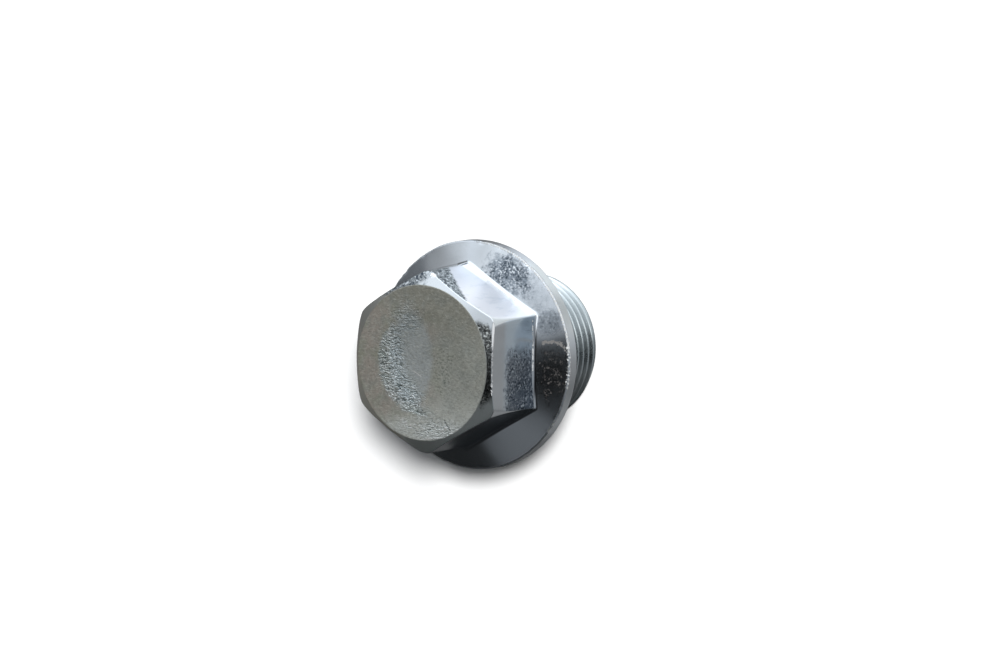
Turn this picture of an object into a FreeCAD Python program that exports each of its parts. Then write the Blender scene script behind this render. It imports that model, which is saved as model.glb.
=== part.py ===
import FreeCAD, Part
import math
import os

# Hexagon flange drain plug, forged in one piece with its threaded shank.
# Millimetres. The axis is Z, with the head up. The origin is the centre of the shank's flat
# end, on which the plug stands, and +X is square to one flat of the hexagon.

# Shank
thread_major_diameter = 23.85
thread_pitch = 1.5
shank_length = 16.8
lead_chamfer_deg = 45.0
relief_width = 2.6
relief_root_clearance = 0.15
relief_flank_deg = 30.0
relief_corner_bevel = 0.6

# Flange
flange_diameter = 36.5
flange_rim_height = 2.2
flange_cone_deg = 24.5
rim_top_bevel = 0.3
rim_seat_bevel = 0.25

# Hexagon head
hexagon_across_flats = 25.7
head_height = 16.5
head_face_diameter = 24.3
head_chamfer_deg = 30.0
corner_top_diameter = 28.8
corner_taper_deg = 1.6
head_root_fillet = 0.8
face_edge_radius = 0.4

# Shallow dish that the forging punch leaves in the head's face
dish_diameter = 16.8
dish_depth = 0.4

HEXAGON_SIDES = 6
THREAD_DEPTH_FACTOR = 0.61343

vector = FreeCAD.Vector
z_axis = vector(0, 0, 1)

# Heights and radii that follow from the sizes above
thread_radius = thread_major_diameter / 2
thread_root_radius = thread_radius - THREAD_DEPTH_FACTOR * thread_pitch
relief_radius = thread_root_radius - relief_root_clearance
flange_radius = flange_diameter / 2
seat_z = shank_length
rim_top_z = seat_z + flange_rim_height
head_top_z = seat_z + head_height


def revolved(profile_edges):
    """Turn a closed outline in the XZ plane once around the Z axis."""
    face = Part.Face(Part.Wire(profile_edges))
    return face.revolve(vector(0, 0, 0), z_axis, 360)


def outline(points):
    """Straight edges through (radius, height) points, back to the first."""
    corners = [vector(radius, 0, height) for radius, height in points]
    return Part.makePolygon(corners + corners[:1]).Edges


def edges_at(solid, radius, height, tolerance=1e-3):
    """The circular edges about the axis with this radius and height."""
    found = []
    for edge in solid.Edges:
        curve = edge.Curve
        if not isinstance(curve, Part.Circle):
            continue
        on_axis = math.hypot(curve.Center.x, curve.Center.y) < tolerance
        if on_axis and abs(curve.Radius - radius) < tolerance and abs(curve.Center.z - height) < tolerance:
            found.append(edge)
    return found


def shank():
    """Threaded shank at its crest diameter, with lead chamfer and relief under the flange."""
    relief_depth = thread_radius - relief_radius
    chamfer_height = relief_depth / math.tan(math.radians(lead_chamfer_deg))
    flank_height = relief_depth / math.tan(math.radians(relief_flank_deg))
    relief_bottom_z = seat_z - relief_width
    inside_flange_z = seat_z + flange_rim_height / 2
    return revolved(outline([
        (0, 0),
        (relief_radius, 0),
        (thread_radius, chamfer_height),
        (thread_radius, relief_bottom_z - flank_height),
        (relief_radius, relief_bottom_z),
        (relief_radius, seat_z - relief_corner_bevel),
        (relief_radius + relief_corner_bevel, seat_z),
        (relief_radius + relief_corner_bevel, inside_flange_z),
        (0, inside_flange_z),
    ]))


def flange_cone_z(radius):
    """Height of the flange's cone at this distance from the axis."""
    return rim_top_z + (flange_radius - radius) * math.tan(math.radians(flange_cone_deg))


def flange():
    """Disc with a bevelled rim and a cone that rises from it to the hexagon."""
    cone_radius = flange_radius - rim_top_bevel
    return revolved(outline([
        (0, seat_z),
        (flange_radius - rim_seat_bevel, seat_z),
        (flange_radius, seat_z + rim_seat_bevel),
        (flange_radius, rim_top_z - rim_top_bevel),
        (cone_radius, flange_cone_z(cone_radius)),
        (0, flange_cone_z(0)),
    ]))


def hexagon_prism():
    """Six-sided bar of the head, with a flat square to +X."""
    corner_radius = hexagon_across_flats / 2 / math.cos(math.pi / HEXAGON_SIDES)
    corners = []
    for side in range(HEXAGON_SIDES):
        angle = (side + 0.5) * 2 * math.pi / HEXAGON_SIDES
        corners.append(vector(corner_radius * math.cos(angle), corner_radius * math.sin(angle), seat_z))
    face = Part.Face(Part.makePolygon(corners + corners[:1]))
    return face.extrude(z_axis * head_height)


def head_envelope():
    """Turned shape that trims the hexagon: tapered corners, chamfer and flat face."""
    face_radius = head_face_diameter / 2
    corner_top_radius = corner_top_diameter / 2
    taper_slope = math.tan(math.radians(corner_taper_deg))
    chamfer_slope = math.tan(math.radians(head_chamfer_deg))
    corner_foot_radius = corner_top_radius + head_height * taper_slope
    # Going down by z below the face, the corner is at top + z * taper and the chamfer at
    # face + z / chamfer slope: they meet where both radii are the same
    meeting_depth = (corner_top_radius - face_radius) / (1 / chamfer_slope - taper_slope)
    meeting_radius = corner_top_radius + meeting_depth * taper_slope
    meeting_z = head_top_z - meeting_depth
    return revolved(outline([
        (0, seat_z),
        (corner_foot_radius, seat_z),
        (meeting_radius, meeting_z),
        (face_radius, head_top_z),
        (0, head_top_z),
    ]))


def face_dish():
    """Lens that the punch presses into the head's face."""
    dish_radius = dish_diameter / 2
    sphere_radius = (dish_radius ** 2 + dish_depth ** 2) / (2 * dish_depth)
    centre = vector(0, 0, head_top_z - dish_depth + sphere_radius)
    # the sphere lies with its poles on X, so that the lens has no pole in it
    return Part.makeSphere(sphere_radius, centre, vector(1, 0, 0))


def head_root_edges(solid, tolerance=1e-3):
    """Edges where the hexagon's sides stand on the flange's cone."""
    found = []
    for edge in solid.Edges:
        middle = edge.valueAt((edge.FirstParameter + edge.LastParameter) / 2)
        points = [middle] + [vertex.Point for vertex in edge.Vertexes]
        radii = [math.hypot(point.x, point.y) for point in points]
        heights = [point.z - flange_cone_z(radius) for point, radius in zip(points, radii)]
        on_cone = max(abs(height) for height in heights) < tolerance
        inside_rim = max(radii) < flange_radius - rim_top_bevel - tolerance
        if on_cone and inside_rim:
            found.append(edge)
    return found


def plug():
    """The whole forging: head, flange and shank fused, with its blends and its dished face."""
    head = hexagon_prism().common(head_envelope())
    solid = flange().fuse(head).fuse(shank()).removeSplitter()
    solid = solid.makeFillet(head_root_fillet, head_root_edges(solid))
    solid = solid.makeFillet(face_edge_radius, edges_at(solid, head_face_diameter / 2, head_top_z))
    return solid.cut(face_dish())


os.makedirs("parts", exist_ok=True)
part = plug()
print("solids", len(part.Solids), "valid", part.isValid(), "volume", round(part.Volume, 1))
part.exportStep("parts/drain_plug.step")
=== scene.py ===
# %% [markdown]
# # A hexagon flange drain plug
#
# The real plug is one piece of steel: a hexagon head struck in a die, a wide conical flange
# under it, and a short shank with a fine thread. The whole of it is zinc plated. The packed
# solid gives the frame, the sizes and the place of everything. What it leaves to this file is
# the real helix of the thread, the soft edges that a forging has, and the finish.

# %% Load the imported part
import math

import bmesh
import bpy
import numpy as np
from mathutils import Matrix, Vector


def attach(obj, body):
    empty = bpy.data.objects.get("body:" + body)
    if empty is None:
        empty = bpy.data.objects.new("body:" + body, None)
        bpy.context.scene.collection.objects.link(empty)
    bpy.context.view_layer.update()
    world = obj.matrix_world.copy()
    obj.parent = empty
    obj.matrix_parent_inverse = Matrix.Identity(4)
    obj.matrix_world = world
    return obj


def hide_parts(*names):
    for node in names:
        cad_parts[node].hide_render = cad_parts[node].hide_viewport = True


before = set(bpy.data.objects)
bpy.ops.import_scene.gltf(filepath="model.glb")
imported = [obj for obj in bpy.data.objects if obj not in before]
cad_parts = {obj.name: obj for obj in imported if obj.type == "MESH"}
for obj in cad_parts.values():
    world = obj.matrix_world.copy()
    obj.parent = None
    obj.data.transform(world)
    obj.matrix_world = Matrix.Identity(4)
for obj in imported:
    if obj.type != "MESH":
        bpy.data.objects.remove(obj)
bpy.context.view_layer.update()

MM = 0.001

# %% [markdown]
# ## The camera
#
# A long lens far away keeps the circles of the plug nearly free of perspective. The plug
# stands on the end of its shank, so the camera looks down on it from above the flats, and is
# rolled so that the axis points to the lower left of the picture. A Track To constraint could
# aim it, but couldn't roll it. So three unit vectors say which way right, up and back are for
# the camera, and they go straight into its matrix.

# %% Set up the camera
camera_place = Vector((351.85, 72.34, 541.65)) * MM
camera_right = Vector((0.8325, 0.0124, -0.5539))
camera_up = Vector((-0.0705, 0.9940, -0.0836))
LENS_MM = 144
SENSOR_MM = 36


def camera_matrix(place, right, up):
    """Matrix with right, up and back as its columns, squared up by cross products."""
    right = right.normalized()
    back = right.cross(up).normalized()
    up = back.cross(right)
    turned = Matrix((right, up, back)).transposed().to_4x4()
    return Matrix.Translation(place) @ turned


camera_data = bpy.data.cameras.new("camera")
camera_data.lens = LENS_MM
camera_data.sensor_width = SENSOR_MM
camera_data.clip_start = 0.01
camera_data.clip_end = 20
camera = bpy.data.objects.new("camera", camera_data)
camera.matrix_world = camera_matrix(camera_place, camera_right, camera_up)
bpy.context.scene.collection.objects.link(camera)
bpy.context.scene.camera = camera
print("camera distance in mm", round(camera_place.length / MM))

# %% [markdown]
# ## Columns round the axis
#
# The plug is a profile carried round its axis: a grid of columns, one for each angle, and
# stations, which go down each column from the middle of the head's face to the middle of the
# shank's end. A plain lathe could turn the flange, and a boolean could cut the hexagon, but
# that leaves long thin faces that don't take soft edges. Here the profile changes with the
# angle instead, and that makes the hexagon. Its corners are narrow, so the columns stand closer
# together there.

# %% Angles of the columns
HEXAGON_SIDES = 6
SIDE_ANGLE = 2 * math.pi / HEXAGON_SIDES
CORNER_COLUMNS = 24
SIDE_COLUMNS = 48
CORNER_HALF_WIDTH = math.radians(4.2)


def column_angles():
    """Even small steps across the window round a corner, then even larger steps to the next
    window, for each side in turn, and the first angle plus a full turn at the end."""
    window = np.linspace(-CORNER_HALF_WIDTH, CORNER_HALF_WIDTH, CORNER_COLUMNS, endpoint=False)
    next_window = SIDE_ANGLE - CORNER_HALF_WIDTH
    between = np.linspace(CORNER_HALF_WIDTH, next_window, SIDE_COLUMNS, endpoint=False)
    one_side = np.concatenate([window, between])
    turns = np.arange(HEXAGON_SIDES)[:, None] * SIDE_ANGLE
    angles = (turns + one_side[None, :]).ravel()
    return np.append(angles, angles[0] + 2 * math.pi) + SIDE_ANGLE / 2


angle = column_angles()
print("columns", len(angle) - 1)

# %% [markdown]
# ## The head's face
#
# The punch that strikes the head leaves a shallow dish in its face. A sphere could cut it out,
# as in the solid, but the real lip is soft, because the metal flows there. So the depth is a
# parabola that runs into the flat through a curve rather than a corner.

# %% Face with its dish
HEAD_TOP_Z = 33.3
FACE_RADIUS = 12.15
DISH_RADIUS = 8.4
DISH_DEPTH = 0.4
DISH_LIP_SOFTNESS = 0.07
FACE_RADII = np.array([
    0, 0.8, 1.8, 2.8, 3.8, 4.8, 5.7, 6.5, 7.1, 7.6,
    8.0, 8.3, 8.6, 9.0, 9.6, 10.4, 11.2, 11.7, 11.95,
])


def soft_positive(value, softness):
    """Half of the value plus the root of its square and the softness squared: about zero below
    zero and the value itself above, with a round bend between."""
    return (value + np.sqrt(value ** 2 + softness ** 2)) / 2


def face_profile():
    """Radii from the axis outwards, and the height of the dished face at each: the top less the
    depth times one minus the squared share of the dish's radius, softly kept above zero."""
    depth = DISH_DEPTH * soft_positive(1 - (FACE_RADII / DISH_RADIUS) ** 2, DISH_LIP_SOFTNESS)
    height = (HEAD_TOP_Z - depth)[:, None] + 0 * angle
    return np.stack(np.broadcast_arrays(FACE_RADII[:, None], height), axis=-1)


face_block = face_profile()
print("face stations", len(face_block))

# %% [markdown]
# ## Round corners in a profile
#
# Wherever two straight runs of the profile meet, the real plug has a small radius. A Bevel
# modifier could round them, but it has one width for the whole piece, and here every corner has
# its own, which may even change round the axis. One helper makes such a corner for all columns
# at once: it steps back from the corner along both runs by the radius times the tangent of half
# the turn, and swings an arc between the two points.

# %% Helpers for runs and arcs
def point(radius, height):
    """A profile point in every column, from radii and heights that may differ by column."""
    return np.stack([radius + 0 * angle, height + 0 * angle], axis=-1)


def arc(before, corner, after, radius, steps):
    """Arc that rounds the corner between the points before and after it. Its centre lies inwards
    by the radius over the cosine of half the turn. Each point adds the first spoke, times the
    sine of the turn that is left, and the last one, times the sine of the turn that is done,
    both over the sine of the whole turn."""
    way_in = (corner - before) / np.linalg.norm(corner - before, axis=-1, keepdims=True)
    way_out = (after - corner) / np.linalg.norm(after - corner, axis=-1, keepdims=True)
    turn = np.arccos(np.clip((way_in * way_out).sum(-1, keepdims=True), -1, 1))
    reach = radius * np.tan(turn / 2)
    inward = (way_out - way_in) / np.linalg.norm(way_out - way_in, axis=-1, keepdims=True)
    centre = corner + inward * radius / np.cos(turn / 2)
    first = (corner - way_in * reach - centre) / radius
    last = (corner + way_out * reach - centre) / radius
    share = np.linspace(0, 1, steps)[:, None, None]
    spread = np.sin((1 - share) * turn) * first + np.sin(share * turn) * last
    return centre + radius * spread / np.sin(turn)


def run(start, end, steps):
    """Points strictly between start and end. Their shares of the way are half of one minus the
    cosine of even angles, so they stand closer together towards both ends."""
    share = (1 - np.cos(np.pi * np.arange(1, steps + 1) / (steps + 1))) / 2
    return start + (end - start) * share[:, None, None]


# %% [markdown]
# ## The hexagon's walls
#
# In a column, a flat stands at half the width across flats divided by the cosine of the angle
# from the flat's middle. The corners are trimmed to a slightly tapering cone, which leaves
# narrow strips between the flats. Trimming is the smaller of two distances, so the wall needs
# no cut, and a soft change from one distance to the other is a worn edge. Cold metal also
# springs back a little out of the die, which leaves each flat hollow by up to 0.15 mm. That is
# too little to see by itself, but it bends what the flat mirrors.

# %% Walls of the hexagon
SEAT_Z = 16.8
RIM_TOP_Z = 19.0
FLANGE_RADIUS = 18.25
CONE_SLOPE = math.tan(math.radians(24.5))
CHAMFER_SLOPE = math.tan(math.radians(30))
HALF_ACROSS_FLATS = 12.85
CORNER_TOP_RADIUS = 14.4
CORNER_TAPER = math.tan(math.radians(1.6))
STRIP_EDGE_SOFTNESS = 0.10
WORN_STRIP_SOFTNESS = 0.55
WORN_SIDE = math.radians(178)
WEAR_CONTRAST = 1.6
FLAT_HOLLOW = 0.15
FOOT_FLARE = 0.13
FOOT_FLARE_HEIGHT = 2.2
WALL_STATIONS = 16
# Heights near the wall's two ends, at which its taper is taken
NEAR_TOP_Z = 32.4
NEAR_FOOT_Z = 21.2

# One side of the head is worn rounder than the other, in a smooth change over the angle
wear = np.clip(0.5 + WEAR_CONTRAST * np.cos(angle - WORN_SIDE), 0, 1)
wear = wear * wear * (3 - 2 * wear)
strip_softness = STRIP_EDGE_SOFTNESS + (WORN_STRIP_SOFTNESS - STRIP_EDGE_SOFTNESS) * wear
from_flat = (angle + SIDE_ANGLE / 2) % SIDE_ANGLE - SIDE_ANGLE / 2
flat_distance = HALF_ACROSS_FLATS / np.cos(from_flat)


def soft_smaller(one, other, softness):
    """Half of their sum less the root of their squared difference and the softness squared: the
    smaller of two values, with a round change where they cross."""
    return (one + other - np.sqrt((one - other) ** 2 + softness ** 2)) / 2


def wall_radius(height, hollow=0.0):
    """Distance of the wall from the axis in every column, at this height: the softly smaller of
    the flat's and the corner's, which grows by the taper times the way down."""
    corner_distance = CORNER_TOP_RADIUS + (HEAD_TOP_Z - height) * CORNER_TAPER
    return soft_smaller(flat_distance - hollow, corner_distance, strip_softness)


def cone_height(radius):
    """Height of the flange's cone: the rim's, plus the slope times the way in from the rim."""
    return RIM_TOP_Z + (FLANGE_RADIUS - radius) * CONE_SLOPE


def chamfer_height(radius):
    """Height of the head's chamfer: the top's, less the slope times the way out from the face."""
    return HEAD_TOP_Z - (radius - FACE_RADIUS) * CHAMFER_SLOPE


top_radius = wall_radius(NEAR_TOP_Z)
foot_radius = wall_radius(NEAR_FOOT_Z) + FOOT_FLARE
wall_top = point(top_radius, chamfer_height(top_radius))
wall_foot = point(foot_radius, cone_height(foot_radius))
above_foot = wall_foot + np.array([-2 * FOOT_FLARE / FOOT_FLARE_HEIGHT, 1.0])


def foot_flare(height):
    """How far the wall's foot stands out: the full flare times the squared share of the flare's
    height that is done, so it is a parabola that starts some way above the cone."""
    share = np.clip((wall_foot[:, 1] + FOOT_FLARE_HEIGHT - height) / FOOT_FLARE_HEIGHT, 0, 1)
    return FOOT_FLARE * share ** 2


wall_height = wall_top[:, 1] - wall_foot[:, 1]
print("wall height in mm", round(wall_height.min(), 2), "to", round(wall_height.max(), 2))

# %% [markdown]
# ## From the face down to the seat
#
# The rest of the head and the flange could be a long list of points. With the corner helper it
# is a short list of corners and radii, as a drawing gives them: the edge of the face, the edge
# of the chamfer, the root of the hexagon on the cone, and the two edges of the rim.

# %% Head and flange profile
FACE_EDGE_RADIUS = 0.4
CRISP_EDGE_RADIUS = 0.24
WORN_EDGE_RADIUS = 0.65
HEAD_ROOT_RADIUS = 0.8
RIM_TOP_RADIUS = 0.34
RIM_SEAT_RADIUS = 0.25
RELIEF_RADIUS = 10.855
RELIEF_CORNER_RADIUS = 0.6
RELIEF_BOTTOM_Z = 14.2

face_end = point(FACE_RADII[-1], HEAD_TOP_Z)
face_edge = point(FACE_RADIUS, HEAD_TOP_Z)
rim_top = point(FLANGE_RADIUS, RIM_TOP_Z)
rim_foot = point(FLANGE_RADIUS, SEAT_Z)
seat_end = point(RELIEF_RADIUS, SEAT_Z)
relief_end = point(RELIEF_RADIUS, RELIEF_BOTTOM_Z)

edge_radius = (CRISP_EDGE_RADIUS + (WORN_EDGE_RADIUS - CRISP_EDGE_RADIUS) * wear)[:, None]

face_arc = arc(face_end, face_edge, wall_top, FACE_EDGE_RADIUS, 5)
chamfer_arc = arc(face_edge, wall_top, wall_foot, edge_radius, 6)
root_arc = arc(above_foot, wall_foot, rim_top, HEAD_ROOT_RADIUS, 8)
rim_top_arc = arc(wall_foot, rim_top, rim_foot, RIM_TOP_RADIUS, 6)
rim_seat_arc = arc(rim_top, rim_foot, seat_end, RIM_SEAT_RADIUS, 4)
relief_arc = arc(rim_foot, seat_end, relief_end, RELIEF_CORNER_RADIUS, 5)


def hollow_wall(start, end):
    """Stations down the wall. The hollow is its depth times four times the share of the way that
    is done times the share that is left. What the ends miss is shared out evenly over the way."""
    height = run(start, end, WALL_STATIONS)[..., 1]
    share = (start[:, 1] - height) / (start[:, 1] - end[:, 1])
    radius = wall_radius(height, FLAT_HOLLOW * 4 * share * (1 - share)) + foot_flare(height)
    start_gap = start[:, 0] - wall_radius(start[:, 1]) - foot_flare(start[:, 1])
    end_gap = end[:, 0] - wall_radius(end[:, 1]) - foot_flare(end[:, 1])
    return np.stack([radius + start_gap * (1 - share) + end_gap * share, height], axis=-1)


wall_block = hollow_wall(chamfer_arc[-1], root_arc[0])
head_blocks = [
    ("face", face_block),
    ("face", face_arc),
    ("hexagon", run(face_arc[-1], chamfer_arc[0], 4)),
    ("hexagon", chamfer_arc),
    ("hexagon", wall_block),
    ("hexagon", root_arc),
    ("flange", run(root_arc[-1], rim_top_arc[0], 15)),
    ("flange", rim_top_arc),
    ("flange", run(rim_top_arc[-1], rim_seat_arc[0], 4)),
    ("flange", rim_seat_arc),
    ("shank", run(rim_seat_arc[-1], relief_arc[0], 5)),
    ("shank", relief_arc),
    ("shank", relief_end[None]),
]
print("head and flange stations", sum(len(block) for _, block in head_blocks))

# %% [markdown]
# ## The thread
#
# The thread is M24 x 1.5, right hand. A Screw modifier could wind its profile, but it wouldn't
# join the relief and the end. Here the stations themselves follow the helix: they rise by one
# pitch in a turn, so every crest and root is a clean line of vertices. At the top and bottom
# they would run out of the threaded length. There they are held at its limit, where they fall
# together and are merged later. The profile is the standard 60 degree vee with a rolled-over
# crest. The lead chamfer and the flank of the relief cut it off at its two ends.

# %% Thread profile along the helix
PITCH = 1.5
THREAD_RADIUS = 11.925
ROOT_RADIUS = 11.005
THREAD_TOP_Z = 13.94
THREAD_BOTTOM_Z = 0.15
RELIEF_FLANK_SLOPE = math.tan(math.radians(30))
LEAD_SLOPE = 1.0
LEAD_EDGE_RADIUS = 0.12
END_RADII = [10.2, 8, 5, 2, 0]
# Along one pitch: distance from the crest's middle and how far below the crest, both in mm
TOOTH_DISTANCE = np.array([0, .09, .22, .46, .66, .75, .84, 1.04, 1.28, 1.41])
TOOTH_DEPTH = np.array([0, .02, .21, .63, .89, .92, .89, .63, .21, .02])


def thread_block():
    """Stations down the helix: height falls with the station and rises by a pitch in a turn. The
    radius is the smallest of the tooth's, the relief flank's and the lead chamfer's."""
    turns = math.ceil((THREAD_TOP_Z - THREAD_BOTTOM_Z) / PITCH) + 1
    fall = (np.arange(turns)[:, None] * PITCH + TOOTH_DISTANCE[None, :]).ravel()
    depth = np.tile(TOOTH_DEPTH, turns)
    rise = PITCH * (angle - angle[0]) / (2 * math.pi)
    height = np.clip(THREAD_TOP_Z + rise[None, :] - fall[:, None], THREAD_BOTTOM_Z, THREAD_TOP_Z)
    from_top = ROOT_RADIUS + (THREAD_TOP_Z - height) * RELIEF_FLANK_SLOPE
    from_bottom = ROOT_RADIUS + (height - THREAD_BOTTOM_Z) * LEAD_SLOPE
    radius = np.minimum(THREAD_RADIUS - depth[:, None], np.minimum(from_top, from_bottom))
    return np.stack([radius, height], axis=-1)


lead_foot = point(RELIEF_RADIUS, 0.0)
lead_start = point(ROOT_RADIUS, THREAD_BOTTOM_Z)
shank_blocks = [
    ("shank", thread_block()),
    ("shank", arc(lead_start, lead_foot, point(0, 0), LEAD_EDGE_RADIUS, 3)),
    ("shank", np.stack([point(radius, 0) for radius in END_RADII])),
]
print("shank stations", sum(len(block) for _, block in shank_blocks))

# %% [markdown]
# ## Marks of forging and handling
#
# No forged surface is exact. A Displace modifier could shake it, but a formula is quicker here,
# where every point is in one array. A slow ripple, made of a few dozen waves in random
# directions, moves every point by about a hundredth of a millimetre, which is enough to make
# reflections swim. Loose plugs knock against each other in their box, and that leaves small
# dents along the proud edge of the rim.

# %% Ripple and dents
RIPPLE_HEIGHT = 0.010
RIPPLE_PEAK = 2.8
RIPPLE_WAVES = 26
WAVE_LENGTHS = (3, 9)
RIM_DENTS = 46
DENT_WIDTHS = (0.18, 0.5)
DENT_DEPTHS = (0.03, 0.11)
DENT_LIFTS = (-0.25, 0.12)
rng = np.random.default_rng(24)


def ripple(place):
    """Sum of the sines of plane waves with random directions, lengths and starts, times the root
    of two over their number, which makes its mean square one."""
    direction = rng.normal(size=(RIPPLE_WAVES, 3))
    direction /= np.linalg.norm(direction, axis=1, keepdims=True)
    length = rng.uniform(*WAVE_LENGTHS, RIPPLE_WAVES)
    start = rng.uniform(0, 2 * math.pi, RIPPLE_WAVES)
    phase = place @ (direction * (2 * math.pi / length[:, None])).T + start
    return np.sin(phase).sum(-1) * math.sqrt(2 / RIPPLE_WAVES)


def rim_dents(place, around):
    """Depth of the dents along the rim's upper edge. Each is a bell: its depth times e to minus
    the squared distance over the squared width."""
    centre = rng.uniform(0, 2 * math.pi, RIM_DENTS)
    width = rng.uniform(*DENT_WIDTHS, RIM_DENTS)
    depth = rng.uniform(*DENT_DEPTHS, RIM_DENTS)
    lift = rng.uniform(*DENT_LIFTS, RIM_DENTS)
    radius = np.hypot(place[..., 0], place[..., 1])
    total = np.zeros(place.shape[:-1])
    for turn, size, deep, up in zip(centre, width, depth, lift):
        aside = (np.mod(around - turn + math.pi, 2 * math.pi) - math.pi) * FLANGE_RADIUS
        across = np.hypot(radius - FLANGE_RADIUS, place[..., 2] - RIM_TOP_Z - up)
        total += deep * np.exp(-(aside ** 2 + across ** 2) / size ** 2)
    return total


# %% [markdown]
# ## One closed skin
#
# Face, hexagon, flange and shank could be four objects, but the real plug is one piece, and
# its light runs on over every edge. So all blocks go under each other into one grid. Each
# station and column is a vertex, and each cell a face. Merging what coincides closes the seam,
# the two poles and the ends of the thread. The faces then point outwards if the volume comes
# out positive.

# %% Assemble the grid and make the mesh
ZONES = ["face", "hexagon", "flange", "shank"]
MERGE_DISTANCE = 0.0002 * MM
FORGED_START_Z = SEAT_Z + 0.6
FORGED_FADE = 1.0
blocks = head_blocks + shank_blocks
profile = np.concatenate([block for _, block in blocks])
zone = np.concatenate([np.full(len(block), ZONES.index(name)) for name, block in blocks])
place = np.stack([
    profile[..., 0] * np.cos(angle),
    profile[..., 0] * np.sin(angle),
    profile[..., 1],
], axis=-1)


def outward(grid):
    """Unit normals of a grid: the step down crossed with the step across, over its length."""
    down = np.gradient(grid, axis=0)
    ring = np.concatenate([grid[:, -2:-1], grid, grid[:, 1:2]], axis=1)
    across = ring[:, 2:] - ring[:, :-2]
    normal = np.cross(down, across)
    length = np.linalg.norm(normal, axis=-1, keepdims=True)
    return normal / np.maximum(length, 1e-12)


# The ripple dies out towards the seat, the thread and the shank's end, which are cut. Above,
# its peaks and not its middle touch the solid's surface, so that it stays in the solid's box
forged = np.clip((profile[..., 1] - FORGED_START_Z) / FORGED_FADE, 0, 1)
place += outward(place) * (RIPPLE_HEIGHT * (ripple(place) - RIPPLE_PEAK) * forged)[..., None]
place -= outward(place) * rim_dents(place, angle)[..., None]
# The last column closes the ring, so it repeats the first. In the shank it keeps its own
# places, which are a pitch higher on the helix and fall together with the turn above
in_shank = (zone == ZONES.index("shank"))[:, None]
place[:, -1] = np.where(in_shank, place[:, -1], place[:, 0])


def grid_faces(stations, columns):
    """Corners of each cell, in the order that points it outwards: its first vertex, the one a
    whole row of columns further on, the one beside that, and the one beside the first."""
    first = (np.arange(stations - 1)[:, None] * columns + np.arange(columns - 1)[None, :]).ravel()
    return np.stack([first, first + columns, first + columns + 1, first + 1], axis=-1)


def closed_mesh(name, grid, station_zone):
    """Mesh of the grid, with its seam and poles merged and its zones as material slots."""
    stations, columns = grid.shape[:2]
    faces = grid_faces(stations, columns)
    mesh = bpy.data.meshes.new(name)
    mesh.from_pydata(grid.reshape(-1, 3) * MM, [], faces.tolist())
    slots = np.repeat(station_zone[1:], columns - 1).astype(np.int32)
    mesh.polygons.foreach_set("material_index", slots)
    work = bmesh.new()
    work.from_mesh(mesh)
    bmesh.ops.remove_doubles(work, verts=work.verts, dist=MERGE_DISTANCE)
    if work.calc_volume(signed=True) < 0:
        bmesh.ops.reverse_faces(work, faces=work.faces)
    open_edges = sum(len(edge.link_faces) != 2 for edge in work.edges)
    print("faces", len(work.faces), "open edges", open_edges)
    print("volume in cubic mm", round(work.calc_volume() / MM ** 3, 1))
    work.to_mesh(mesh)
    work.free()
    mesh.polygons.foreach_set("use_smooth", np.ones(len(mesh.polygons), dtype=bool))
    mesh.update()
    return mesh


plug_mesh = closed_mesh("drain_plug_skin", place, zone)
plug = bpy.data.objects.new("drain_plug_skin", plug_mesh)
bpy.context.scene.collection.objects.link(plug)
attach(plug, "root")
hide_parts("drain_plug")
print("triangles", sum(len(face.vertices) - 2 for face in plug_mesh.polygons))

# %% [markdown]
# ## Small tools for building node trees
#
# Materials are trees of nodes. They could be wired by hand in the editor, or node by node in
# many lines. These helpers add a node, set its inputs or link them, and hand back an output, so
# a formula reads almost like arithmetic. The node goes into the tree that the given outputs
# belong to.

# %% Node helpers
def put(socket, value):
    """Link the value if it is an output, and otherwise set it."""
    if isinstance(value, bpy.types.NodeSocket):
        socket.id_data.links.new(value, socket)
    else:
        socket.default_value = value


def tree_of(*values):
    """The tree of the first node output among the values."""
    return next(value.id_data for value in values if isinstance(value, bpy.types.NodeSocket))


def compute(operation, *values, clamp=False):
    """A Math node's result."""
    node = tree_of(*values).nodes.new("ShaderNodeMath")
    node.operation = operation
    node.use_clamp = clamp
    for socket, value in zip(node.inputs, values):
        put(socket, value)
    return node.outputs[0]


def vector(operation, *values):
    """A Vector Math node's result, a number where the operation gives one."""
    node = tree_of(*values).nodes.new("ShaderNodeVectorMath")
    node.operation = operation
    for socket, value in zip(node.inputs, values):
        put(socket, value)
    gives_number = operation in ("DOT_PRODUCT", "LENGTH", "DISTANCE")
    return node.outputs["Value"] if gives_number else node.outputs["Vector"]


def scaled(value, factor):
    """A vector times a number."""
    node = tree_of(value, factor).nodes.new("ShaderNodeVectorMath")
    node.operation = "SCALE"
    put(node.inputs[0], value)
    put(node.inputs["Scale"], factor)
    return node.outputs["Vector"]


def ramp(value, low, high, to_low=0.0, to_high=1.0):
    """From to_low, where value is low, to to_high, where it is high, along three times the
    square less twice the cube of the share, which starts and ends level."""
    node = tree_of(value).nodes.new("ShaderNodeMapRange")
    node.interpolation_type = "SMOOTHSTEP"
    names = ("Value", "From Min", "From Max", "To Min", "To Max")
    for name, part in zip(names, (value, low, high, to_low, to_high)):
        put(node.inputs[name], part)
    return node.outputs["Result"]


def noise(place_in, scale, detail, roughness, distortion=0.0):
    """A Noise texture's value, near 0.5 on average."""
    node = tree_of(place_in).nodes.new("ShaderNodeTexNoise")
    names = ("Vector", "Scale", "Detail", "Roughness", "Distortion")
    for name, value in zip(names, (place_in, scale, detail, roughness, distortion)):
        put(node.inputs[name], value)
    return node.outputs[0]


def blend_colour(share, one, other):
    """Colour one where share is 0 and the other where it is 1."""
    node = tree_of(share).nodes.new("ShaderNodeMix")
    node.data_type = "RGBA"
    put(node.inputs["Factor"], share)
    put(node.inputs["A"], one)
    put(node.inputs["B"], other)
    return node.outputs["Result"]


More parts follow.
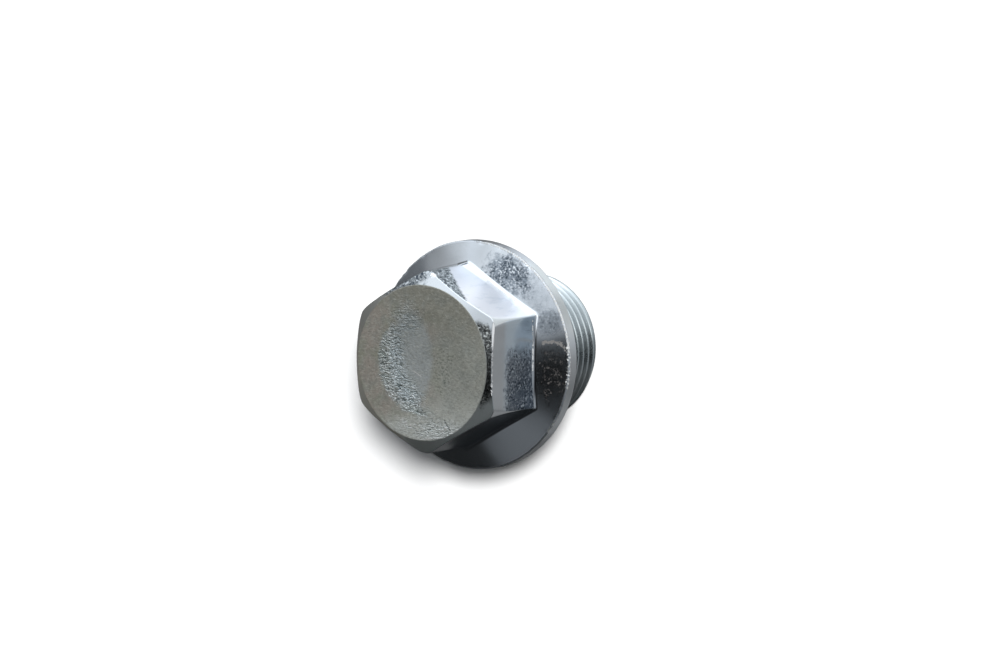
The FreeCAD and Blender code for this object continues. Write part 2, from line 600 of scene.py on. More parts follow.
def group(name, inputs, outputs):
    """An empty node group with these named sockets, and its two end nodes."""
    tree = bpy.data.node_groups.new(name, "ShaderNodeTree")
    for socket, kind in inputs:
        tree.interface.new_socket(socket, in_out="INPUT", socket_type="NodeSocket" + kind)
    for socket, kind in outputs:
        tree.interface.new_socket(socket, in_out="OUTPUT", socket_type="NodeSocket" + kind)
    return tree, tree.nodes.new("NodeGroupInput").outputs, tree.nodes.new("NodeGroupOutput").inputs


def use(tree, node_group, **values):
    """Place a group and set its inputs, with spaces for underscores. Gives its outputs."""
    node = tree.nodes.new("ShaderNodeGroup")
    node.node_tree = node_group
    for name, value in values.items():
        put(node.inputs[name.replace("_", " ").capitalize()], value)
    return node.outputs


# %% [markdown]
# ## Effects that the finishes share
#
# The whole plug is plated in one bath, so its finishes differ in how the steel under the zinc
# was worked. Each finish could repeat the nodes of an effect, but a group is built once and
# takes other values in each. Four groups are enough: millimetres round the axis, patches with a
# ragged edge, grain from the scale that was pressed in, and single scratches.

# %% Group: place in millimetres, and round the axis
# Around holds the angle in degrees, the arctangent of y over x, then the radius and the height
place_group, _, result = group("place_in_mm", [], [("Place", "Vector"), ("Around", "Vector")])
tree = place_group
object_place = tree.nodes.new("ShaderNodeTexCoord").outputs["Object"]
in_mm = scaled(object_place, 1 / MM)
split = tree.nodes.new("ShaderNodeSeparateXYZ")
put(split.inputs[0], in_mm)
radians = compute("ARCTAN2", split.outputs["Y"], split.outputs["X"])
degrees = compute("MULTIPLY", radians, 180 / math.pi)
from_axis = vector("LENGTH", vector("MULTIPLY", in_mm, (1, 1, 0)))
join = tree.nodes.new("ShaderNodeCombineXYZ")
put(join.inputs["X"], degrees)
put(join.inputs["Y"], from_axis)
put(join.inputs["Z"], split.outputs["Z"])
put(result["Place"], in_mm)
put(result["Around"], join.outputs[0])

# %% Group: a patch with a soft and ragged edge
# The mask fades where the distance from the centre, over the reach and plus noise, nears one
patch_group, given, result = group(
    "ragged_patch",
    [
        ("Place", "Vector"), ("Texture place", "Vector"), ("Centre", "Vector"),
        ("Reach", "Vector"), ("Feather", "Float"), ("Ragged", "Float"),
    ],
    [("Mask", "Float")],
)
from_centre = vector("SUBTRACT", given["Place"], given["Centre"])
away = vector("DIVIDE", from_centre, given["Reach"])
coarse = noise(given["Texture place"], 0.9, 4.0, 0.65)
push = compute("MULTIPLY", compute("SUBTRACT", coarse, 0.5), given["Ragged"])
distance = compute("ADD", vector("LENGTH", away), push)
inner = compute("SUBTRACT", 1.0, given["Feather"])
put(result["Mask"], ramp(distance, 1.0, inner))

# %% Group: speckled grain
# One noise gives dark specks where it is low, light ones where it is high, and the height
grain_group, given, result = group(
    "speckled_grain",
    [("Place", "Vector"), ("Cells", "Vector"), ("Crackle", "Float")],
    [("Dark", "Float"), ("Light", "Float"), ("Height", "Float")],
)
stretched = vector("MULTIPLY", given["Place"], given["Cells"])
fine = noise(stretched, 1.0, 3.0, 0.62, given["Crackle"])
put(result["Height"], compute("SUBTRACT", fine, 0.5))
put(result["Dark"], ramp(fine, 0.49, 0.36))
put(result["Light"], ramp(fine, 0.52, 0.66))

# %% Group: a single scratch
# The nearest place on the line is start plus share times span, with the share kept in 0 to 1
scratch_group, given, result = group(
    "scratch",
    [("Place", "Vector"), ("Start", "Vector"), ("End", "Vector"), ("Width", "Float")],
    [("Mask", "Float")],
)
span = vector("SUBTRACT", given["End"], given["Start"])
offset = vector("SUBTRACT", given["Place"], given["Start"])
share = compute(
    "DIVIDE",
    vector("DOT_PRODUCT", offset, span),
    vector("DOT_PRODUCT", span, span), clamp=True,
)
miss = vector("LENGTH", vector("SUBTRACT", offset, scaled(span, share)))
put(result["Mask"], ramp(miss, given["Width"], 0.0))
print("node groups", [item.name for item in bpy.data.node_groups])

# %% [markdown]
# ## Zinc over steel
#
# Zinc is a grey metal with a little blue in it, and olive where the plating is thin. A mix of a
# Diffuse and a Glossy shader could show it, but the Principled shader as a metal does it with
# one colour, which then tints what it mirrors. The same helper starts every finish, so that
# they sit together as one plating.

# %% Helpers that start a finish
ZINC = (0.66, 0.70, 0.735, 1)
THIN_ZINC = (0.545, 0.540, 0.492, 1)


def new_finish(name):
    """A material with a metal shader. Gives it, the shader and the two place outputs."""
    material = bpy.data.materials.new(name)
    material.use_nodes = True
    tree = material.node_tree
    shader = tree.nodes["Principled BSDF"]
    shader.inputs["Metallic"].default_value = 1.0
    places = use(tree, place_group)
    return material, shader, places["Place"], places["Around"]


def bumped(height, depth_mm):
    """Normal of a relief with this height, in units of depth_mm millimetres."""
    node = tree_of(height).nodes.new("ShaderNodeBump")
    put(node.inputs["Strength"], 1.0)
    put(node.inputs["Distance"], depth_mm * MM)
    put(node.inputs["Height"], height)
    return node.outputs["Normal"]


# %% [markdown]
# ## Masks and coats
#
# Marks could be painted in a picture that is wrapped round the plug. A formula has no seam and
# stays sharp from close by, so each mark is a mask: a number over the surface, 1 where it is and
# 0 where it isn't. The product of masks is where all of them are, and the largest of them is
# where any is. A finish is one colour with coats over it, each of them a mask and a colour. The
# mixing node cuts a mask off at 1, so a mask times more than 1 has crisper edges.

# %% Tools for masks and coats
def toward(azimuth, elevation):
    """Unit vector to an azimuth from +X to +Y and an elevation, both in degrees: its height is
    the elevation's sine, and the cosine goes to X and Y by the azimuth's cosine and sine."""
    a, e = math.radians(azimuth), math.radians(elevation)
    return (math.cos(a) * math.cos(e), math.sin(a) * math.cos(e), math.sin(e))


def times(*masks):
    """Product of masks and numbers."""
    total = masks[0]
    for mask in masks[1:]:
        total = compute("MULTIPLY", total, mask)
    return total


def plus(*values):
    """Sum of numbers."""
    total = values[0]
    for value in values[1:]:
        total = compute("ADD", total, value)
    return total


def largest(*masks):
    """Largest of several masks."""
    total = masks[0]
    for mask in masks[1:]:
        total = compute("MAXIMUM", total, mask)
    return total


def opposite(mask):
    """One less the mask: 1 where it is 0 and 0 where it is 1."""
    return compute("SUBTRACT", 1.0, mask)


def hill(value, start, full, fade, end):
    """One from full to fade, and smoothly down to zero at start and at end."""
    return times(ramp(value, start, full), ramp(value, end, fade))


def along(place_in, way):
    """How far a place, or a normal, reaches along a way: their dot product."""
    return vector("DOT_PRODUCT", place_in, way)


def edge_fray(here, cells, reach):
    """Noise that moves a mark's edge to and fro: what it has above its middle, times reach."""
    return times(compute("SUBTRACT", noise(here, cells, 4.0, 0.65), 0.5), reach)


def paint(colour, *coats):
    """Lay coats of (mask, colour) over a colour, one after another."""
    for mask, coat in coats:
        colour = blend_colour(mask, colour, (*coat, 1))
    return colour


def patch(place_in, here, centre, reach, feather, ragged):
    """A patch, in millimetres or in degrees, radius and height. Noise times ragged moves its
    edge, and feather is the share of its reach over which it fades."""
    values = {"centre": centre, "reach": reach, "feather": feather, "ragged": ragged}
    return use(tree_of(here), patch_group, place=place_in, texture_place=here, **values)["Mask"]


def scratch(here, start, end, width):
    """A scratch between two places in millimetres."""
    values = {"start": start, "end": end, "width": width}
    return use(tree_of(here), scratch_group, place=here, **values)["Mask"]


def grain(here, cells, crackle):
    """Speckled grain with this many cells to a millimetre, which crackle twists."""
    return use(tree_of(here), grain_group, place=here, cells=cells, crackle=crackle)


# %% [markdown]
# ## The punched face
#
# The punch presses mill scale into the face, which leaves grain at one side of the dish, a
# smoother and bluer lens in its middle, and a frosted patch near the edge. Two scratches are
# from handling. The grain is too fine to model, so it is a bump that the light makes real, with
# a colour of its own in its pits and on its tops.

# %% Marks on the face
face_finish, shader, here, around = new_finish("punched_face")
from_axis = along(around, (0, 1, 0))
clouds = noise(here, 0.42, 4.0, 0.62)
tarnish = noise(vector("ADD", here, (31, 7, 0)), 0.3, 3.0, 0.6)
blotches = noise(here, 1.5, 3.0, 0.6)
fray = edge_fray(here, 1.3, 5.0)
pressed = grain(here, (1.15, 2.6, 1), 1.6)
satin = grain(here, (2.0, 3.2, 1), 0.6)

in_dish = ramp(plus(from_axis, times(fray, 0.35)), 8.6, 7.9)
in_dish_rim = times(ramp(from_axis, 1.6, 5.6), in_dish)
scale_side = ramp(plus(along(here, (-1.0, -0.45, 0)), fray), 1.0, 4.2)
crescent = times(in_dish_rim, scale_side)
stray = patch(here, here, (-3.0, 7.0, 33), (4.6, 4.4, 3), 0.8, 1.3)
grain_area = largest(crescent, times(stray, 0.55))
lens = patch(here, here, (-2.2, 0.5, 33), (4.7, 8.4, 3), 0.3, 0.25)
frost = patch(here, here, (3.4, -10.6, 33), (7.0, 2.9, 3), 0.7, 1.3)
smear = patch(here, here, (-3.0, -9.9, 33), (4.2, 1.9, 3), 0.9, 1.4)
frosted = largest(frost, smear)
stain = patch(here, here, (3.9, -0.8, 33), (2.4, 4.8, 3), 0.8, 1.5)
right_side = ramp(along(here, (1, 0, 0)), -1, 5)
low_side = ramp(along(here, (0.20, -0.98, 0)), 5.0, 11.0)
top_side = ramp(along(here, (0.25, 0.97, 0)), 4.0, 11.0)
light_scratch = scratch(here, (-1.72, -1.38, 32.92), (-0.29, -2.14, 32.93), 0.13)
dark_scratch = scratch(here, (4.42, -8.57, 33.3), (5.57, -10.2, 33.3), 0.15)
print("nodes for the face's marks", len(tree_of(here).nodes))

# %% Finish of the face
colour = paint(
    THIN_ZINC,
    (ramp(tarnish, 0.44, 0.62, 0.0, 0.7), (0.595, 0.535, 0.490)),
    (ramp(tarnish, 0.52, 0.36, 0.0, 0.6), (0.505, 0.520, 0.425)),
    (times(right_side, 0.85), (0.585, 0.620, 0.590)),
    (top_side, (0.475, 0.480, 0.430)),
    (low_side, (0.85, 0.90, 0.88)),
    (times(lens, 0.95), (0.620, 0.680, 0.715)),
    (ramp(clouds, 0.46, 0.66, 0.0, 0.35), (0.40, 0.43, 0.41)),
    (ramp(blotches, 0.50, 0.62, 0.0, 0.22), (0.38, 0.39, 0.36)),
    (ramp(blotches, 0.48, 0.36, 0.0, 0.22), (0.74, 0.76, 0.72)),
    (times(grain_area, 0.45), (0.56, 0.65, 0.66)),
    (times(grain_area, pressed["Dark"], 0.95), (0.10, 0.13, 0.13)),
    (times(grain_area, pressed["Light"], 0.9), (0.97, 1.0, 0.98)),
    (times(satin["Light"], 0.30), (0.88, 0.89, 0.83)),
    (times(satin["Dark"], 0.30), (0.30, 0.31, 0.28)),
    (times(stain, satin["Dark"], 0.8), (0.20, 0.24, 0.21)),
    (times(frosted, 0.6), (0.90, 0.94, 0.91)),
    (times(frosted, satin["Light"], 0.95), (1.0, 1.0, 0.99)),
    (times(frost, satin["Dark"], 0.7), (0.42, 0.47, 0.46)),
    (times(light_scratch, 0.9), (1.0, 1.0, 1.0)),
    (times(dark_scratch, 0.9), (0.15, 0.17, 0.17)),
)
put(shader.inputs["Base Color"], colour)
face_roughness = ramp(clouds, 0.3, 0.7, 0.36, 0.46)
put(shader.inputs["Roughness"], plus(face_roughness, times(grain_area, -0.10)))
frost_depth = times(largest(frost, times(smear, 0.6)), 3.4)
satin_relief = times(satin["Height"], plus(0.9, frost_depth))
pressed_relief = times(pressed["Height"], grain_area, 4.8)
put(shader.inputs["Normal"], bumped(plus(satin_relief, pressed_relief), 0.05))
print("nodes of the face's finish", len(tree_of(here).nodes))

# %% [markdown]
# ## The forged hexagon
#
# The flats are smooth where the die slid along them. The chamfer is pitted at one corner and
# dull with thin plating on the worn side, and its lower side is painted lighter, as painted light.
# One flat has a dark mottled foot, which is a painted reflection of the dark cone beside it, and
# its neighbour a dull end. Another flat, with its foot, and the strip beside it are painted
# lighter than the zinc, as a painted reflection and a painted highlight. Chamfer, flats and
# strips could each have a material, but then their marks would end in hard lines. So one finish
# covers them all, and the facing of the surface, its normal, tells them apart.

# %% Areas of the hexagon
hexagon_finish, shader, here, around = new_finish("forged_hexagon")
facing = tree_of(here).nodes.new("ShaderNodeTexCoord").outputs["Normal"]
height_up = along(here, (0, 0, 1))
faces_up = ramp(along(facing, (0, 0, 1)), 0.40, 0.70)
on_chamfer = times(faces_up, ramp(height_up, 30, 31))
on_strip = ramp(along(facing, toward(30, 0)), 0.92, 0.985)
on_sheen_flat = ramp(along(facing, toward(60, 0)), 0.93, 0.98)
on_front_flat = ramp(along(facing, toward(0, 0)), 0.93, 0.98)
specks = grain(here, (3.0, 2.5, 2.9), 0.5)
satin = grain(here, (1.2, 1.2, 1.2), 0.2)
streaks = noise(vector("MULTIPLY", here, (0.9, 0.9, 0.25)), 1.0, 3.0, 0.6)
fray = edge_fray(here, 1.0, 4.0)

worn_chamfer = times(on_chamfer, ramp(along(here, (-1, 0, 0)), 2.6, 4.6))
# Painted light: the chamfer is painted lighter on its lower side, towards -Y
low_chamfer = times(on_chamfer, ramp(along(here, (0, -1, 0)), 3.0, 6.0))
dull_top = patch(around, here, (107, 13.4, 32.5), (24, 2.4, 6), 0.45, 1.0)
top_chamfer = times(on_chamfer, dull_top)
pitted = patch(around, here, (23, 12.3, 33.0), (15, 1.75, 8), 0.45, 0.6)
pitted_on = patch(around, here, (-4, 12.5, 33.0), (30, 1.3, 8), 0.35, 0.4)
pits = times(on_chamfer, largest(pitted, times(pitted_on, 0.9)))
print("nodes for the hexagon's areas", len(tree_of(here).nodes))

# %% Dull marks, a painted reflection and a painted highlight on the flats
foot_start = ramp(plus(along(here, (0, 1, 0)), fray), 3.6, 0.4)
foot_top = ramp(plus(height_up, times(fray, 1.1)), 29.2, 27.6)
# Painted reflection: the dark, mottled cone painted onto the foot of the flat toward +X, darker
# towards -Y
cone_reflection_foot = times(on_front_flat, foot_start, foot_top)
cone_reflection_low = times(cone_reflection_foot, ramp(along(here, (0, -1, -0.35)), -8.6, -4.0))
blue_top = ramp(plus(height_up, times(fray, 0.3)), 30.0, 27.8)
blue_foot = times(on_front_flat, blue_top)
end_line = plus(along(here, (-0.615, 0.355, 1.0)), times(fray, 0.4))
dull_end = times(
    ramp(end_line, 31.0, 31.9),
    ramp(along(here, (0, 1, 0)), 8, 9),
    ramp(plus(along(here, (1, 0, 0)), fray), -5.5, -2.5),
    opposite(on_chamfer),
)
# Painted highlight: the foot of that flat is painted white
foot_highlight = times(on_sheen_flat, ramp(height_up, 22.9, 22.2))
cool_end = times(on_sheen_flat, ramp(along(here, (-0.866, 0.5, 0)), -1, 5))
uneven = ramp(noise(here, 0.55, 2.0, 0.5), 0.40, 0.58, 0.35, 1.0)
mottled = largest(times(cone_reflection_foot, uneven), dull_end, times(top_chamfer, 0.8))
print("nodes with the dull marks", len(tree_of(here).nodes))

# %% A nick, painted shade and painted highlights on the hexagon's edges
# The ends of a crease that runs over from the hexagon's foot onto the cone
CREASE = ((-0.35, 15.0, 20.5), (-1.9, 14.5, 20.66))

nick_distance = vector("DISTANCE", here, (1.45, 13.85, 32.27))
nick_glint_and_shade = plus(nick_distance, times(specks["Height"], 2.2))
crease_shade = scratch(here, *CREASE, 0.26)
foot_shade_line = scratch(here, (13.17, 5.60, 21.10), (13.17, -7.10, 21.10), 0.34)
upper_edge = scratch(here, (12.62, 7.15, 32.10), (12.85, 2.20, 32.60), 0.34)
front_edge = scratch(here, (12.85, 3.70, 32.60), (12.85, -4.20, 32.62), 0.36)
foot_edge = scratch(here, (12.95, 6.60, 21.47), (12.95, -1.20, 21.47), 0.22)
# Painted highlights: non-metal lines along the edges, which the lamps light pale, broken by the
# grain
edge_highlight = largest(
    times(upper_edge, ramp(along(here, (0, 1, 0)), 2.2, 4.4)),
    times(front_edge, ramp(specks["Height"], 0.0, 0.06)),
    times(foot_edge, ramp(satin["Height"], -0.12, 0.0)),
)
print("nodes with the knocks", len(tree_of(here).nodes))

# %% Finish of the hexagon
colour = paint(
    ZINC,
    # Painted reflection: the flat toward 60 degrees is painted near white, lighter than the zinc
    (times(on_sheen_flat, 0.9), (1.0, 0.985, 1.0)),
    (times(on_sheen_flat, ramp(streaks, 0.5, 0.62), 0.25), (0.62, 0.66, 0.72)),
    # Painted sheen: the strip toward 30 degrees is painted lighter than the zinc
    (on_strip, (0.86, 0.89, 0.88)),
    (times(on_chamfer, 0.85), (0.56, 0.59, 0.605)),
    # Painted light on the chamfer's lower side
    (low_chamfer, (0.72, 0.77, 0.76)),
    (worn_chamfer, (0.50, 0.495, 0.455)),
    (times(blue_foot, 0.85), (0.76, 0.88, 0.98)),
    (times(cool_end, 0.75), (0.62, 0.66, 0.73)),
    # Painted highlight on the foot of that flat
    (foot_highlight, (1.0, 1.0, 1.0)),
    # Painted reflection of the dark cone on the foot of the flat toward +X
    (cone_reflection_foot, (0.28, 0.315, 0.36)),
    (times(cone_reflection_low, 0.8), (0.15, 0.185, 0.235)),
    (dull_end, (0.27, 0.30, 0.31)),
    (times(top_chamfer, 0.9), (0.17, 0.19, 0.20)),
    # Specks on the dull marks, and in the painted reflection on that flat's foot
    (times(mottled, specks["Dark"], 1.6), (0.04, 0.055, 0.075)),
    (times(mottled, specks["Light"], 1.1), (0.80, 0.86, 0.90)),
    (times(pits, 0.95), (0.10, 0.105, 0.10)),
    (times(pits, specks["Dark"], 0.95), (0.02, 0.02, 0.018)),
    (times(pits, specks["Light"], 0.8), (0.75, 0.77, 0.74)),
    # A nick at a corner: its bright ring is a painted highlight and its dark middle painted shade
    (ramp(nick_glint_and_shade, 0.52, 0.36), (1.0, 1.0, 1.0)),
    (ramp(nick_glint_and_shade, 0.16, 0.02), (0.12, 0.12, 0.12)),
    # Painted shade: a dark line along the crease
    (times(crease_shade, 0.9), (0.05, 0.05, 0.05)),
    # Painted shade: a dark line in the corner at the flat's foot
    (times(foot_shade_line, 0.9), (0.05, 0.055, 0.06)),
    # Painted highlights along the edges
    (ramp(edge_highlight, 0.0, 0.35), (0.185, 0.19, 0.195)),
)
put(shader.inputs["Base Color"], colour)
put(shader.inputs["Metallic"], opposite(ramp(edge_highlight, 0.15, 0.5, 0.0, 0.75)))
put(shader.inputs["Roughness"], plus(
    0.16,
    times(largest(mottled, worn_chamfer), 0.24),
    times(low_chamfer, 0.30),
    times(pits, 0.10),
    times(largest(on_sheen_flat, on_strip), 0.20),
))
speck_depth = plus(largest(mottled, times(pits, 1.6)), 0.04)
speck_relief = times(specks["Height"], speck_depth)
satin_relief = times(satin["Height"], 0.10)
put(shader.inputs["Normal"], bumped(plus(speck_relief, satin_relief), 0.035))
print("nodes of the hexagon's finish", len(tree_of(here).nodes))

# %% [markdown]
# ## The forged flange
#
# The cone is bright and smooth from the die, with scale marks pressed in at one side. Pale dust
# and a smear of compound sit on its dark side. Dust isn't metal, so the finish is less metal
# there. The lamps are strong for what isn't metal, so colours near black look pale there. The
# rim's proud edge takes the knocks, which leave bright chips, and the same pale non-metal paints
# a highlight along the edge's upper part. The rim's side is painted lighter towards the top, a
# painted sheen, and a dark line of painted shade runs along a crease onto the cone.

# %% Marks on the cone
flange_finish, shader, here, around = new_finish("forged_flange")
degrees_round = along(around, (1, 0, 0))
height_up = along(around, (0, 0, 1))
on_cone = ramp(height_up, 18.85, 19.1)
specks = grain(here, (2.8, 2.8, 2.8), 0.5)
dust = grain(here, (3.6, 3.6, 3.6), 1.0)
satin = grain(here, (1.0, 1.0, 1.0), 0.2)
bands = noise(here, 0.5, 3.0, 0.6)

mottle_high = patch(around, here, (60.5, 15.2, 20), (20, 3.2, 6), 0.5, 1.2)
mottle_low = patch(around, here, (23, 16.2, 20), (8.5, 2.3, 6), 0.4, 0.7)
mottle_between = patch(around, here, (42, 15.6, 20), (17, 2.6, 6), 0.8, 1.2)
mottled = times(on_cone, largest(
    mottle_high, times(mottle_low, 0.55), times(mottle_between, 0.28),
))
speck_area = times(
    mottled,
    ramp(bands, 0.42, 0.54, 0.25, 1.0),
    ramp(degrees_round, 40, 58, 0.8, 1.0),
)
darker_part = times(on_cone, hill(degrees_round, 60, 69, 82, 92), 0.8)
crease_shade = largest(
    scratch(here, *CREASE, 0.26),
    times(scratch(here, CREASE[1], (-6.0, 13.5, 20.65), 0.20), 0.35),
)
print("nodes for the cone's marks", len(tree_of(here).nodes))

# %% Dust and smear on the cone
SMEAR_PLACES = [
    (14.34, 3.07, 20.63), (15.43, 3.34, 20.13), (16.90, 3.00, 19.50), (17.60, 2.10, 19.20),
]
SMEAR_WIDTHS = [0.42, 0.46, 0.36]

dark_side = times(on_cone, patch(around, here, (-7, 15.7, 20), (19, 2.8, 6), 0.7, 1.4))
dust_area = ramp(noise(here, 0.8, 3.0, 0.6), 0.42, 0.56)
dust_specks = times(dark_side, dust_area, ramp(dust["Height"], 0.055, 0.095))
smear_line = largest(*[
    scratch(here, start, end, width)
    for start, end, width in zip(SMEAR_PLACES, SMEAR_PLACES[1:], SMEAR_WIDTHS)
])
crumbs = plus(noise(here, 3.0, 2.0, 0.6), times(smear_line, 0.22))
on_smear = ramp(smear_line, 0.02, 0.15)
arc_smear = times(ramp(crumbs, 0.61, 0.65), on_smear)
print("nodes with the dust", len(tree_of(here).nodes))

# %% Wear of the rim, with a painted highlight and sheen
edge_miss = vector("SUBTRACT", around, (0, 18.10, 18.93))
edge_distance = vector("LENGTH", vector("MULTIPLY", edge_miss, (0, 1, 1)))
edge_line = ramp(edge_distance, 0.28, 0.10)
bold_chips = ramp(noise(here, 3.0, 3.0, 0.7), 0.54, 0.57)
fine_chips = ramp(noise(here, 5.0, 3.0, 0.65), 0.45, 0.56)
# Chips on the rim's edge, and a painted highlight: fine pale marks along its upper part
chips_and_edge_highlight = largest(
    times(ramp(edge_distance, 0.42, 0.22), bold_chips, hill(degrees_round, -15, -9, 9, 17)),
    times(edge_line, fine_chips, hill(degrees_round, 2, 12, 78, 92)),
    times(edge_line, bold_chips, hill(degrees_round, -41, -37, -31, -27), 0.35),
)
on_rim = ramp(height_up, 18.75, 18.60)
# Painted sheen: the rim's side is painted lighter, and white on its upper part
rim_sheen = times(on_rim, hill(degrees_round, 8, 22, 50, 62))
rim_highlight = times(on_rim, hill(degrees_round, 72, 84, 110, 140))
print("nodes with the rim's wear", len(tree_of(here).nodes))

# %% Finish of the flange
not_metal = largest(dust_specks, arc_smear, chips_and_edge_highlight)
dust_and_edge_highlight = ramp(not_metal, 0.12, 0.45, 0.0, 0.85)
colour = paint(
    ZINC,
    # Painted sheen on the rim's side
    (rim_sheen, (0.74, 0.77, 0.755)),
    (rim_highlight, (1.0, 1.0, 0.98)),
    (darker_part, (0.55, 0.58, 0.60)),
    (times(mottled, 0.95), (0.30, 0.34, 0.38)),
    (times(speck_area, 0.8), (0.13, 0.155, 0.185)),
    (times(speck_area, specks["Dark"], 1.3), (0.06, 0.075, 0.09)),
    (times(mottled, specks["Light"], 0.85), (0.86, 0.90, 0.93)),
    (times(dark_side, 0.5), (0.34, 0.33, 0.31)),
    (ramp(dust_specks, 0.0, 0.12), (0.027, 0.0255, 0.025)),
    (ramp(arc_smear, 0.0, 0.12), (0.055, 0.054, 0.053)),
    # Chips and the painted highlight along the rim's edge
    (ramp(chips_and_edge_highlight, 0.0, 0.15), (0.20, 0.205, 0.205)),
    # Painted shade: a dark line along the crease
    (times(crease_shade, 0.9), (0.05, 0.05, 0.05)),
)
put(shader.inputs["Base Color"], colour)
put(shader.inputs["Metallic"], opposite(dust_and_edge_highlight))
put(shader.inputs["Roughness"], plus(
    0.19,
    times(mottled, 0.2),
    times(dust_and_edge_highlight, 0.3),
    times(edge_line, 0.25),
))
speck_depth = plus(speck_area, times(chips_and_edge_highlight, 2.0), 0.05)
speck_relief = times(specks["Height"], speck_depth)
satin_relief = times(satin["Height"], 0.12)
put(shader.inputs["Normal"], bumped(plus(speck_relief, satin_relief), 0.035))
print("nodes of the flange's finish", len(tree_of(here).nodes))

# %% [markdown]
# ## The cut shank
#
# The seat, the relief, the thread and the end are turned, so fine rings run round them. They
# are far too fine to model. A Wave texture could draw them, but too evenly, so they are noise
# that depends on the radius and the height, and not on the angle. One side is painted darker,
# which is painted shade, and dirt darkens the roots of the thread.

# %% Finish of the shank
shank_finish, shader, here, around = new_finish("turned_shank")
rings = noise(vector("MULTIPLY", around, (0, 1, 1)), 9.0, 2.0, 0.6)
clouds = noise(here, 0.4, 3.0, 0.6)
degrees_round = along(around, (1, 0, 0))
# The angle jumps by a full turn at the back, so both marks have to fade before they reach it
near_side = ramp(degrees_round, -110, -70)
low_right = times(ramp(degrees_round, -2, -20), near_side)
# Painted shade: this side of the shank is painted darker
darker_part = times(ramp(degrees_round, 66, 34), near_side, opposite(low_right))
near_root = ramp(along(around, (0, 1, 0)), 11.75, 11.25)
roots = times(near_root, ramp(along(around, (0, 0, 1)), 14.4, 14.0))
colour = paint(
    (0.68, 0.72, 0.72, 1),
    (ramp(clouds, 0.35, 0.7), (0.56, 0.61, 0.62)),
    # Painted shade on one side of the shank
    (times(darker_part, 0.8), (0.42, 0.47, 0.48)),
    (times(roots, ramp(low_right, 0.0, 1.0, 0.6, 0.2)), (0.27, 0.31, 0.32)),
)
shank_roughness = ramp(clouds, 0.3, 0.7, 0.2, 0.3)
put(shader.inputs["Base Color"], colour)
put(shader.inputs["Roughness"], plus(shank_roughness, times(low_right, 0.16)))
put(shader.inputs["Normal"], bumped(rings, 0.007))

for finish in (face_finish, hexagon_finish, flange_finish, shank_finish):
    plug_mesh.materials.append(finish)
print("finishes", [material.name for material in plug_mesh.materials])

# %% [markdown]
# ## The studio
#
# Bright metal shows its surroundings, so the surroundings are most of the look. Area lamps
# could stand round the plug, but their edges would cross the flats as hard lines. So the world
# is a dark room with large soft walls of light. A group turns the cosine between a direction
# and the way to a wall into its glow: none below one limit, all of it above another. Flags hold
# back the large walls in some directions, as a photographer's black cards do.

# %% Walls, flags and fills of the studio
wall_group, given, result = group(
    "soft_wall",
    [
        ("Direction", "Vector"), ("Toward", "Vector"), ("Low", "Float"), ("High", "Float"),
        ("Strength", "Float"), ("Tint", "Color"),
    ],
    [("Light", "Color")],
)
reach = along(given["Direction"], given["Toward"])
glow = times(ramp(reach, given["Low"], given["High"]), given["Strength"])
put(result["Light"], scaled(given["Tint"], glow))

COOL = (0.95, 1.0, 1.065, 1)
PLAIN = (1.0, 1.0, 1.0, 1)
WARM = (1.03, 1.0, 0.93, 1)
DARK_ROOM = (0.014, 0.015, 0.016)

upper_way = toward(94.1, -4.8)
left_way = tuple(-value for value in camera_right)
# Way, cosine where it starts, cosine where it is full, strength and tint
SOFT_WALLS = [
    (upper_way, -0.12, 0.30, 0.90, COOL),
    (upper_way, 0.30, 0.75, 0.50, COOL),
]
FILLS = [
    (toward(-169, 56), 0.80, 0.99, 0.33, WARM),
    (toward(-162, -3), 0.93, 0.98, 0.36, WARM),
    (toward(8, -56), 0.88, 0.985, 0.13, PLAIN),
    (toward(-30, -56), 0.75, 0.95, 0.16, PLAIN),
    (toward(88, -56), 0.90, 0.99, 0.36, COOL),
    (toward(146, 30), 0.965, 0.993, 0.20, PLAIN),
    (toward(-6, 6), 0.70, 0.97, 0.34, COOL),
    (toward(86, 13), 0.80, 0.97, 0.70, COOL),
    (toward(42, 9), 0.93, 0.99, 0.5, PLAIN),
    (toward(20, 33), 0.955, 0.99, 1.2, PLAIN),
    (toward(-100, 47), 0.925, 0.99, 0.14, COOL),
    (toward(-82, 56), 0.94, 0.99, 0.015, COOL),
    (toward(-95, -57), 0.82, 0.97, 0.11, PLAIN),
]
# Way, cosine where it starts, cosine where it is full, and the share of light it lets by
FLAGS = [
    (left_way, 0.70, 0.92, 0.145),
    ((0, 0, -1), 0.30, 0.80, 0.45),
    (toward(157, -28), 0.78, 0.95, 0.15),
    (toward(5, 2), 0.80, 0.95, 0.3),
]
print("walls", len(SOFT_WALLS), "fills", len(FILLS), "flags", len(FLAGS))

# %% [markdown]
# ## The world
#
# The world adds up the walls behind the flags, the dark room and the small fills. The camera
# could see all this behind the floor, but a studio picture has a plain white ground, so rays
# from the camera see white, and only what the metal mirrors sees the room.

# %% World
world = bpy.data.worlds.new("studio")
world.use_nodes = True
bpy.context.scene.world = world
tree = world.node_tree
direction = tree.nodes.new("ShaderNodeTexCoord").outputs["Generated"]


def add_walls(light, walls):
    """Add the light of each wall to what there is."""
    for way, low, high, strength, tint in walls:
        values = {"toward": way, "low": low, "high": high, "strength": strength, "tint": tint}
        glow = use(tree, wall_group, direction=direction, **values)["Light"]
        light = vector("ADD", light, glow)
    return light


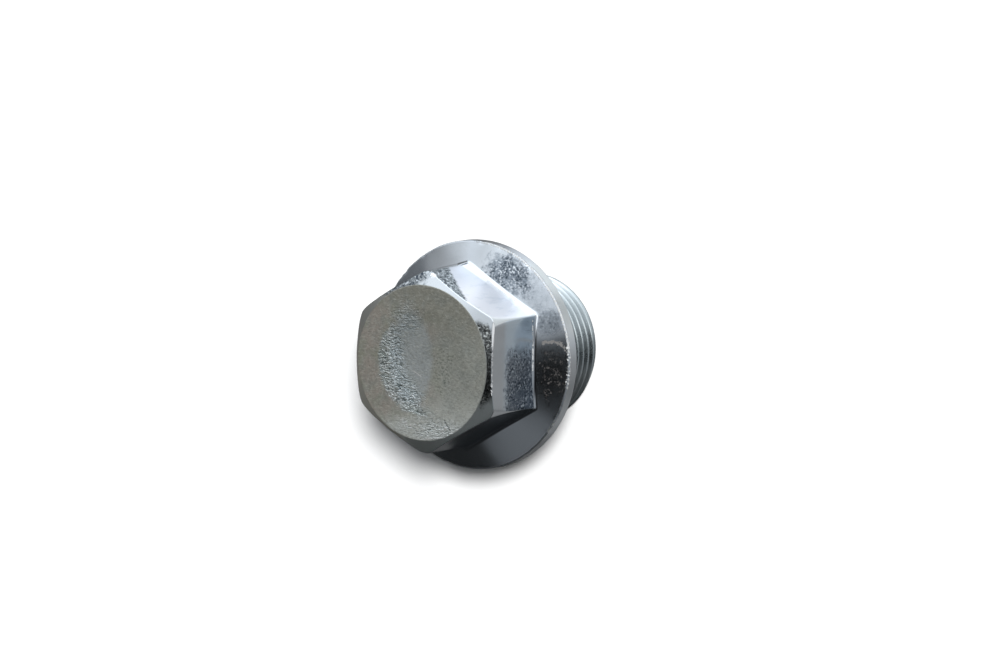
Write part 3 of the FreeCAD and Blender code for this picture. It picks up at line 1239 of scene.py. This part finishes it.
flags = times(*[
    ramp(along(direction, way), low, high, 1.0, share)
    for way, low, high, share in FLAGS
])
light = scaled(add_walls((0, 0, 0), SOFT_WALLS), flags)
light = add_walls(vector("ADD", light, DARK_ROOM), FILLS)
room = tree.nodes["Background"]
put(room.inputs["Color"], light)
backdrop = tree.nodes.new("ShaderNodeBackground")
backdrop.inputs["Color"].default_value = (1, 1, 1, 1)
mix = tree.nodes.new("ShaderNodeMixShader")
put(mix.inputs["Fac"], tree.nodes.new("ShaderNodeLightPath").outputs["Is Camera Ray"])
put(mix.inputs[1], room.outputs[0])
put(mix.inputs[2], backdrop.outputs[0])
put(tree.nodes["World Output"].inputs["Surface"], mix.outputs[0])
print("nodes of the world", len(tree.nodes))

# %% [markdown]
# ## Floor and lamps
#
# The floor is a plain pale sheet, eight metres wide. The world could light it, but its shadow
# would be too faint. So two soft, distant lamps, side by side, light it and give the plug its
# shadow. The metal mirrors neither the floor nor the lamps, so that it shows the soft walls
# alone, as it would with the floor kept dark for the shot.

# %% Floor and lamps
FLOOR_HALF_SIZE = 4.0
FLOOR_COLOUR = (0.30, 0.30, 0.30, 1)
LAMP_ANGLE = 9
# Name, way to the lamp, and strength
LAMPS = [("left_lamp", toward(21.4, 52.6), 6.3), ("right_lamp", toward(23.4, 53.8), 6.3)]

corner_signs = np.array([(-1, -1, 0), (1, -1, 0), (1, 1, 0), (-1, 1, 0)])
floor_mesh = bpy.data.meshes.new("floor")
floor_mesh.from_pydata(corner_signs * FLOOR_HALF_SIZE, [], [(0, 1, 2, 3)])
floor = bpy.data.objects.new("floor", floor_mesh)
bpy.context.scene.collection.objects.link(floor)
floor_finish = bpy.data.materials.new("pale_floor")
floor_finish.use_nodes = True
sheet = floor_finish.node_tree.nodes["Principled BSDF"]
sheet.inputs["Base Color"].default_value = FLOOR_COLOUR
sheet.inputs["Roughness"].default_value = 1.0
sheet.inputs["Specular IOR Level"].default_value = 0.0
floor_mesh.materials.append(floor_finish)
floor.visible_glossy = False


def soft_lamp(name, way, energy):
    """A distant lamp that shines from this way, seen by rough surfaces alone."""
    data = bpy.data.lights.new(name, "SUN")
    data.energy = energy
    data.angle = math.radians(LAMP_ANGLE)
    lamp = bpy.data.objects.new(name, data)
    lamp.rotation_mode = "QUATERNION"
    lamp.rotation_quaternion = way.to_track_quat("Z", "Y")
    lamp.visible_glossy = False
    bpy.context.scene.collection.objects.link(lamp)


for name, way, energy in LAMPS:
    soft_lamp(name, Vector(way), energy)

bpy.context.scene.view_settings.view_transform = "Standard"
bpy.context.scene.view_settings.look = "None"
print("lamps", [name for name, _, _ in LAMPS])
